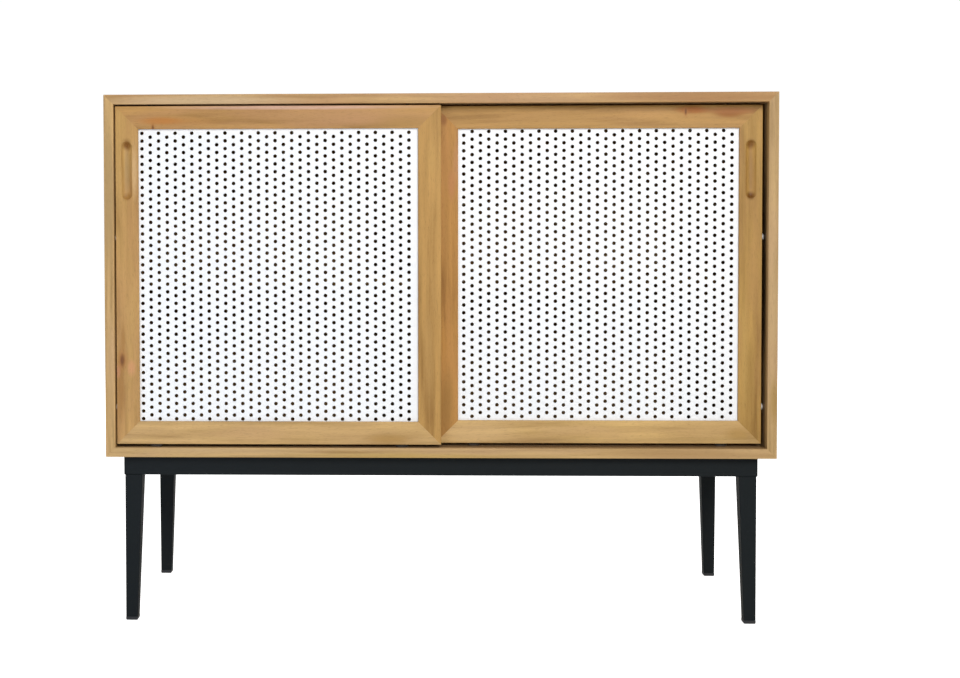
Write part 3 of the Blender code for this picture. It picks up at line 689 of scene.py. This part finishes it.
# Patches of other tone on the door members, painted shade in the finger pulls, and a painted highlight along
# the left door's top rail
DOOR_MARKS_AND_PAINTED_LIGHT = {
    "left_door_outer_stile": (
        ((-573, -220, 420), (9, 30, 90), "92652B", 0.7),
        ((-568, -220, 515), (5, 30, 34), "986B31", 0.6),
        ((-554, -220, 463), (9, 30, 18), "C58D5F", 0.8),
        ((-577, -220, 457), (5, 30, 16), "B77E56", 0.8),
        ((-555, -220, 560), (12, 30, 70), "B89155", 0.6),
        # Painted shade in the finger pull: the hollow darkened all over, and darker crescents at its top and
        # bottom ends
        ((-559.5, -215, 818), (8.5, 4.5, 56), "8B7650", 0.42),
        ((-559.5, -216, 865), (11, 8, 13), "744609", 0.9),
        ((-559.5, -216, 771), (11, 8, 9), "966A30", 0.7),
        ((-545, -220, 820), (7, 30, 62), "CDA878", 0.6),
        ((-576, -220, 560), (5, 30, 90), "9E7444", 0.6),
    ),
    "left_door_inner_stile": (
        ((-12, -220, 845), (11, 30, 40), "B68E4E", 0.6),
        ((-20, -220, 480), (12, 30, 110), "B18A4E", 0.6),
        ((-8, -220, 600), (10, 30, 60), "AC8449", 0.5),
    ),
    "left_door_top_rail": (
        ((-190, -220, 915), (210, 30, 20), "B18559", 0.7),
        ((-60, -220, 905), (70, 30, 12), "9F783E", 0.5),
        ((-470, -220, 905), (80, 30, 10), "A87539", 0.5),
        # Painted highlight: a pale pinkish strip along the top edge of the rail
        ((-245, -222, 930), (270, 30, 5), "CAA38D", 0.85),
        ((-500, -220, 906), (46, 30, 8), "B06A24", 0.55),
    ),
    "left_door_bottom_rail": (
        ((-330, -220, 345), (80, 30, 16), "BC9666", 0.6),
        ((-90, -220, 336), (50, 30, 10), "A37C3F", 0.6),
    ),
    "right_door_inner_stile": (
        ((9, -196, 911), (9, 30, 16), "8C5A28", 0.85),
        ((33, -196, 836), (9, 30, 50), "B48051", 0.7),
        ((24, -196, 792), (9, 30, 34), "B27848", 0.7),
        ((16, -196, 400), (16, 30, 70), "946C32", 0.7),
        ((14, -196, 700), (10, 30, 120), "AC7F40", 0.5),
    ),
    "right_door_top_rail": (
        ((452, -196, 924), (36, 30, 9), "955210", 0.85),
        ((515, -196, 918), (34, 30, 9), "8A5214", 0.9),
        ((520, -196, 923), (60, 30, 9), "9A6230", 0.8),
        ((200, -196, 905), (120, 30, 18), "A77F44", 0.5),
    ),
    "right_door_outer_stile": (
        # Painted shade in the finger pull: the hollow darkened all over, and darker crescents at its top and
        # bottom ends
        ((557.5, -191, 818), (8.5, 4.5, 56), "80603A", 0.42),
        ((557.5, -192, 865), (11, 8, 12), "6C400C", 0.85),
        ((557.5, -192, 771), (11, 8, 10), "643A08", 0.95),
        ((556, -196, 440), (12, 30, 90), "9B783B", 0.6),
        ((548, -196, 500), (7, 30, 130), "AF8C4C", 0.5),
    ),
    "right_door_bottom_rail": (
        ((240, -196, 350), (90, 30, 10), "C19D69", 0.6),
        ((70, -196, 346), (90, 30, 22), "D0AC78", 0.6),
        ((540, -196, 345), (30, 30, 14), "AA8545", 0.6),
    ),
}


def pull_cutter(centre_x, face_y, top_z):
    """The shape that a wide ball-nosed router leaves: an upright oblong bowl with sloping sides and a
    rounded-over rim."""
    profile = [(0, -1.0 * MM), (PULL_RADIUS + PULL_RIM, -1.0 * MM)]
    for step in range(5):
        angle = pi / 2 * step / 4
        profile.append((PULL_RADIUS + PULL_RIM * (1 - sin(angle)), PULL_RIM * (1 - cos(angle))))
    for step in range(13):
        angle = pi / 2 * step / 12
        profile.append((PULL_RADIUS * cos(angle), PULL_RIM + (PULL_DEPTH - PULL_RIM) * sin(angle) ** 2))
    bm = bmesh.new()
    verts = [bm.verts.new((across, inwards, 0)) for across, inwards in profile]
    edges = [bm.edges.new(pair) for pair in zip(verts, verts[1:])]
    bmesh.ops.spin(bm, geom=verts + edges, cent=(0, 0, 0), axis=(0, -1, 0), angle=pi, steps=28)
    bmesh.ops.remove_doubles(bm, verts=bm.verts[:], dist=1e-7)
    half = PULL_LENGTH / 2 - PULL_RADIUS
    bmesh.ops.translate(bm, verts=bm.verts[:], vec=(0, 0, half))
    grown = bmesh.ops.extrude_edge_only(bm, edges=[edge for edge in bm.edges if edge.is_boundary])
    lower = [item for item in grown["geom"] if isinstance(item, bmesh.types.BMVert)]
    bmesh.ops.translate(bm, verts=lower, vec=(0, 0, -half))
    bmesh.ops.mirror(bm, geom=bm.verts[:] + bm.edges[:] + bm.faces[:], merge_dist=1e-6, axis="Z")
    bmesh.ops.translate(bm, verts=bm.verts[:], vec=(centre_x, face_y, top_z - PULL_LENGTH / 2))
    return bm


def punched_sheet(door):
    """A steel sheet punched with staggered round holes, which has a plain border. One hole's cell is made
    once and repeated, the holes outside the pattern are filled, and the sheet is sheared to its size."""
    low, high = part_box(door + "_perforated_sheet")
    first_x, top_z, first_is_full = HOLES_START[door]
    last_x = first_x + (HOLE_COLUMNS - 1) * HOLE_PITCH_X
    bottom_z = top_z - (HOLE_ROWS - 1) * HOLE_PITCH_Z
    facing = Matrix.Rotation(pi / 2, 4, "X")
    bm = bmesh.new()
    bmesh.ops.create_grid(bm, x_segments=4, y_segments=4, size=0.5, matrix=facing)
    bmesh.ops.delete(bm, geom=[vert for vert in bm.verts if not vert.is_boundary], context="VERTS")
    bmesh.ops.scale(bm, verts=bm.verts[:], vec=(HOLE_PITCH_X, 1, HOLE_PITCH_Z))
    bmesh.ops.create_circle(bm, cap_ends=False, segments=HOLE_SIDES, radius=HOLE_RADIUS, matrix=facing)
    bmesh.ops.bridge_loops(bm, edges=bm.edges[:])
    bmesh.ops.translate(bm, verts=bm.verts[:], vec=(first_x - 2 * HOLE_PITCH_X, low.y, top_z + HOLE_PITCH_Z))

    def repeat(count, step):
        source = bm.faces[:] + bm.edges[:] + bm.verts[:]
        for number in range(1, count):
            copy = bmesh.ops.duplicate(bm, geom=source)["geom"]
            moved = [item for item in copy if isinstance(item, bmesh.types.BMVert)]
            bmesh.ops.translate(bm, verts=moved, vec=step(number))

    repeat(HOLE_ROWS + 3, lambda number: (0, 0, -HOLE_PITCH_Z * number))
    repeat(HOLE_COLUMNS + 4, lambda number: (HOLE_PITCH_X * number, 0, -HOLE_PITCH_Z / 2 * (number % 2)))
    if not first_is_full:
        bmesh.ops.translate(bm, verts=bm.verts[:], vec=(0, 0, HOLE_PITCH_Z / 2))
    bmesh.ops.remove_doubles(bm, verts=bm.verts[:], dist=1e-5)

    reach = 1.03 * HOLE_RADIUS

    def outside(place):
        beyond_x = place.x < first_x - HOLE_PITCH_X / 2 or place.x > last_x + HOLE_PITCH_X / 2
        return beyond_x or place.z < bottom_z - reach or place.z > top_z + reach

    rims = [edge for edge in bm.edges if edge.is_boundary and edge.calc_length() < 2 * MM]
    bmesh.ops.edgeloop_fill(bm, edges=[edge for edge in rims if outside(edge.verts[0].co)])
    for corner, axis, way in ((low, X, -1), (high, X, 1), (low, Z, -1), (high, Z, 1)):
        outwards = Vector()
        outwards[axis] = way
        bmesh.ops.bisect_plane(
            bm, geom=bm.verts[:] + bm.edges[:] + bm.faces[:], plane_co=corner, plane_no=outwards,
            clear_outer=True, dist=1e-6)
    grown = bmesh.ops.extrude_face_region(bm, geom=bm.faces[:])["geom"]
    moved = [item for item in grown if isinstance(item, bmesh.types.BMVert)]
    bmesh.ops.translate(bm, verts=moved, vec=(0, high.y - low.y, 0))
    piece(
        door + "_punched_sheet", bm, door, WHITE_STEEL, (door + "_perforated_sheet",),
        even=False)


def make_bumper(door, spot, edge_x, outer):
    """A soft dome on the outer stile's edge. Gives the hole for its stem."""
    name = f"{door}_bumper_{spot}"
    dome_radius = 6
    stem_radius = 2
    stem_length = 6.5
    low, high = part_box(name)
    place = (low + high) / 2
    place.x = edge_x
    proud = abs((high if outer > 0 else low).x - edge_x) / MM
    profile = [(-stem_length, 0), *rounded(-stem_length, stem_radius, 0.4, -1), (CLEARANCE, stem_radius)]
    profile += rounded(CLEARANCE, dome_radius, 0.4, -1)
    for step in range(9):
        angle = pi / 2 * step / 8
        radius = dome_radius * cos(angle) ** 0.6 if step < 8 else 0
        profile.append((proud - 1.2 * (1 - sin(angle)), radius))
    dome = turned(profile, (outer, 0, 0), place)
    piece(
        f"{door}_{spot}_bumper_dome", dome, door, BUMPER_PLASTIC, (name,), sharp=50)
    end = stem_length + CLEARANCE
    width = stem_radius + CLEARANCE
    return turned([(-end, 0), (-end, width), (1, width), (1, 0)], (outer, 0, 0), place, 16)


def make_guide_pin(door, number):
    """A pin that runs in the top track. Gives the hole for it in the top rail."""
    name = f"{door}_guide_pin_{number}"
    radius = 2.75
    hole_depth = 13
    low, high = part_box(name)
    place = (low + high) / 2
    half = (high.z - low.z) / 2 / MM
    profile = [(-half, 0), *rounded(-half, radius, 0.4, -1), *rounded(half, radius, 1.2, 1), (half, 0)]
    pin = turned(profile, (0, 0, 1), place)
    piece(name + "_rod", pin, door, GLIDE_PLASTIC, (name,))
    width = radius + CLEARANCE
    foot = (place.x, place.y, low.z)
    hole = [(-CLEARANCE, 0), (-CLEARANCE, width), (hole_depth, width), (hole_depth, 0)]
    return turned(hole, (0, 0, 1), foot, 16)


def fit_housing(door, number):
    """Finishes a roller housing. Gives the pocket for it, which is open at the bottom rail's foot."""
    name = f"{door}_roller_housing_{number}"
    finish_cad(name, BLACK_STEEL)
    low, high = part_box(name)
    low.z -= 1 * MM
    return box_of(low, high, ROOM)


def make_roller(door, number):
    """A nylon roller: a rim 5 mm wide, a thinner web, a hub and the rounded ends of its axle."""
    name = f"{door}_roller_{number}"
    rim_half = 2.5
    web_half = 1.5
    axle = 1.5
    low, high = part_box(name)
    end = (high.y - low.y) / 2 / MM
    rim = (high.z - low.z) / 2 / MM
    half_profile = [
        (0.0, rim), *rounded(rim_half, rim, 0.9, 1), (rim_half, rim - 1.9), (web_half, rim - 2.5),
        (web_half, 4.6), (rim_half, 4.2), (rim_half, 1.9), (rim_half + 0.2, axle), (end - 0.2, axle),
        (end, axle - 0.2), (end, 0.0),
    ]
    profile = [(-along, radius) for along, radius in half_profile[:0:-1]] + half_profile
    wheel = turned(profile, (0, 1, 0), (low + high) / 2, 48)
    piece(name + "_wheel", wheel, name + "_body", NYLON, (name,), sharp=30)


def make_door(door, outer):
    """One framed door with its sheet, bumpers, guide pins and rollers; outer is -1 for the left door."""
    cutters = {}
    for part in ("outer_stile", "inner_stile", "top_rail", "bottom_rail"):
        cutters[part] = [box_of(*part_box(door + "_perforated_sheet"), SHEET_ROOM)]

    stile_low, stile_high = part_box(door + "_outer_stile")
    door_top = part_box(door + "_top_rail")[1].z
    cutters["outer_stile"].append(
        pull_cutter((stile_low.x + stile_high.x) / 2, stile_low.y, door_top - PULL_BELOW_DOOR_TOP))
    edge_x = stile_low.x if outer < 0 else stile_high.x
    for spot in ("upper", "lower"):
        cutters["outer_stile"].append(make_bumper(door, spot, edge_x, outer))
    for number in (1, 2):
        cutters["top_rail"].append(make_guide_pin(door, number))
        cutters["bottom_rail"].append(fit_housing(door, number))
        make_roller(door, number)

    for part, run, across, inwards in (
        ("outer_stile", Z, X, -outer),
        ("inner_stile", Z, X, outer),
        ("top_rail", X, Z, -1),
        ("bottom_rail", X, Z, 1),
    ):
        name = f"{door}_{part}"
        tone, blush, blush_share, heart, lean, seed = DOOR_TONES[name]
        wood = mango(
            name + "_mango", middle(name), "XYZ"[run], tone, blush, blush_share, heart, lean, seed,
            knots=DOOR_KNOTS.get(name, ()), marks=DOOR_MARKS_AND_PAINTED_LIGHT.get(name, ()))
        bm = mitred_bar(*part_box(name), run, across, inwards, MEMBER_EASE, closed=JOINT_TAKEN_UP[run])
        piece(name + "_member", bm, door, wood, (name,), cutters[part])

    punched_sheet(door)


# Base: a welded ring of box tube with four tapered legs

TUBE_WALL = 2 * MM
TUBE_EDGE = 1.6 * MM
LEG_TOP = 31.5 * MM
LEG_FOOT = 21.5 * MM
SCREW_HEAD_RADIUS = 4.5
SCREW_HEAD_HEIGHT = 2.6
THREAD_ROOT = 1.5
THREAD_CREST = 2.0
THREAD_PITCH = 1.25


def tapered_block(name, sign_x, sign_y, wall=0.0, past=0.0):
    """A block under a corner of the ring, tapered on its inner sides. It is thinner than the leg by this
    wall all round, and reaches past both its ends."""
    low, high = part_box(name)
    outer_x = low.x if sign_x < 0 else high.x
    outer_y = low.y if sign_y < 0 else high.y
    bm = box_of((-0.5, -0.5, 0), (0.5, 0.5, 1))
    for vert in bm.verts:
        upper = vert.co.z > 0.5
        size = LEG_TOP if upper else LEG_FOOT
        centre_x = outer_x - sign_x * size / 2
        centre_y = outer_y - sign_y * size / 2
        side = size - 2 * wall
        height = high.z + past if upper else low.z - past
        vert.co = Vector((centre_x + vert.co.x * side, centre_y + vert.co.y * side, height))
    return bm


def make_rails():
    """The ring of mitred box tube, whose side tubes have holes for the screws and their heads."""
    for name, run, across, inwards in (
        ("base_front_rail", X, Y, 1),
        ("base_back_rail", X, Y, -1),
        ("base_left_rail", Y, X, 1),
        ("base_right_rail", Y, X, -1),
    ):
        low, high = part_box(name)
        wall = Vector((TUBE_WALL, TUBE_WALL, TUBE_WALL))
        wall[run] = -1 * MM
        cutters = [box_of(low + wall, high - wall)]
        if run == Y:
            for number in (1, 2) if "left" in name else (3, 4):
                place = middle(f"base_screw_{number}")
                for height, radius, start, end, sides in (
                    (low.z, SCREW_HEAD_RADIUS + 2, -1, 4, 32),
                    (high.z, THREAD_CREST + CLEARANCE, -4, 1, 16),
                ):
                    profile = [(start, 0), (start, radius), (end, radius), (end, 0)]
                    cutters.append(turned(profile, (0, 0, 1), (place.x, place.y, height), sides))
        bm = mitred_bar(low, high, run, across, inwards, TUBE_EDGE, 0.4 * MM, JOINT_TAKEN_UP[run])
        piece(name + "_tube", bm, "carcass", BLACK_STEEL, (name,), cutters)


def make_legs():
    """Four hollow legs, each on a black glide."""
    for along, sign_y in (("front", -1), ("rear", 1)):
        for across, sign_x in (("left", -1), ("right", 1)):
            name = f"{along}_{across}_leg"
            bm = tapered_block(name, sign_x, sign_y)
            upright = [edge for edge in bm.edges if abs((edge.verts[0].co - edge.verts[1].co).z) > LEG_TOP]
            ease(bm, upright, TUBE_EDGE)
            bore = tapered_block(name, sign_x, sign_y, TUBE_WALL, 1 * MM)
            piece(name + "_tube", bm, "carcass", BLACK_STEEL, (name,), [bore])
            finish_cad(f"{along}_{across}_foot_glide", GLIDE_PLASTIC)


def make_base_screws():
    """Four pan head screws with a cross slot, which hold the ring under the bottom board."""
    for number in (1, 2, 3, 4):
        name = f"base_screw_{number}"
        low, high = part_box(name)
        place = (low + high) / 2
        place.z = low.z + SCREW_HEAD_HEIGHT * MM
        shank = (high.z - place.z) / MM
        profile = [
            (-SCREW_HEAD_HEIGHT, 0), (-SCREW_HEAD_HEIGHT, 1.5), (-2.4, 3.0), (-1.6, 4.1),
            (-0.8, SCREW_HEAD_RADIUS), (0, SCREW_HEAD_RADIUS), (0, THREAD_CREST),
        ]
        turn = 0.8
        while turn + THREAD_PITCH < shank - 2:
            profile += [(turn, THREAD_ROOT), (turn + THREAD_PITCH / 2, THREAD_CREST)]
            turn += THREAD_PITCH
        profile += [(shank - 2, 1.6), (shank, 0.3), (shank, 0)]
        slots = []
        for size in ((2.4, 0.45), (0.45, 2.4)):
            half = Vector((*size, 1.0)) * MM
            foot = Vector((place.x, place.y, low.z))
            slots.append(box_of(foot - half, foot + half))
        screw = turned(profile, (0, 0, 1), place, 24)
        piece(name + "_pan_head", screw, "carcass", ZINC, (name,), slots)


make_case()
make_door("left_door", -1)
make_door("right_door", 1)
make_rails()
make_legs()
make_base_screws()


# Studio: a plain white floor and room, and large soft lights


def make_floor():
    """A plain pale floor. It glows for the camera alone, so that it looks as white as the photograph's
    ground and lights nothing by it."""
    half_side = 14
    glow = 0.86
    bm = bmesh.new()
    bmesh.ops.create_grid(bm, x_segments=2, y_segments=2, size=half_side)
    mesh = bpy.data.meshes.new("floor")
    bm.to_mesh(mesh)
    bm.free()
    floor = bpy.data.objects.new("floor", mesh)
    material, tree, shader = new_finish(
        "pale_floor", roughness=0.9, base_color=linear("F6F6F5"), specular_ior_level=0.1,
        emission_color=(1, 1, 1, 1))
    seen = node(tree, "ShaderNodeLightPath").outputs["Is Camera Ray"]
    strength = node(tree, "ShaderNodeMath", {"operation": "MULTIPLY"}, {0: seen, 1: glow}).outputs[0]
    tree.links.new(strength, shader.inputs["Emission Strength"])
    floor.data.materials.append(material)
    bpy.context.scene.collection.objects.link(floor)


def make_room():
    """A room that looks white to the camera and gives a dim, even light."""
    room_light = 0.22
    seen_white = 1.02
    world = bpy.data.worlds.new("studio")
    bpy.context.scene.world = world
    world.use_nodes = True
    tree = world.node_tree
    background = tree.nodes["Background"]
    background.inputs["Strength"].default_value = 1.0
    seen = node(tree, "ShaderNodeLightPath").outputs["Is Camera Ray"]
    colour = node(tree, "ShaderNodeMix", {"data_type": "RGBA"}, {
        0: seen,
        6: (room_light, room_light, room_light, 1),
        7: (seen_white, seen_white, seen_white, 1),
    }).outputs[2]
    tree.links.new(colour, background.inputs["Color"])


def light(name, place, size, power, target=(0, 0, 0.6), tint="FFFFFF"):
    """A soft box of this size in metres and power in watts, turned to its target."""
    data = bpy.data.lights.new(name, "AREA")
    data.shape = "RECTANGLE"
    data.size, data.size_y = size
    data.energy = power
    data.color = linear(tint)[:3]
    item = bpy.data.objects.new(name, data)
    item.location = place
    item.rotation_euler = (Vector(target) - Vector(place)).to_track_quat("-Z", "Y").to_euler()
    bpy.context.scene.collection.objects.link(item)


make_floor()
make_room()
light("key", (1.0, -4.6, 2.5), (0.7, 1.5), 161)
light("fill", (-1.9, -4.2, 1.2), (2.0, 1.8), 6)
light("low", (-1.3, -2.2, 0.3), (0.5, 0.4), 7, (-0.5, -0.2, 0.2), "C9DCFF")
light("overhead", (0, 0.2, 3.6), (4.0, 2.4), 26)
light("behind_left", (-2.9, 3.2, 2.1), (2.0, 2.0), 55)
light("behind_right", (2.9, 3.2, 2.1), (2.0, 2.0), 55)
bpy.context.scene.view_settings.view_transform = "Standard"
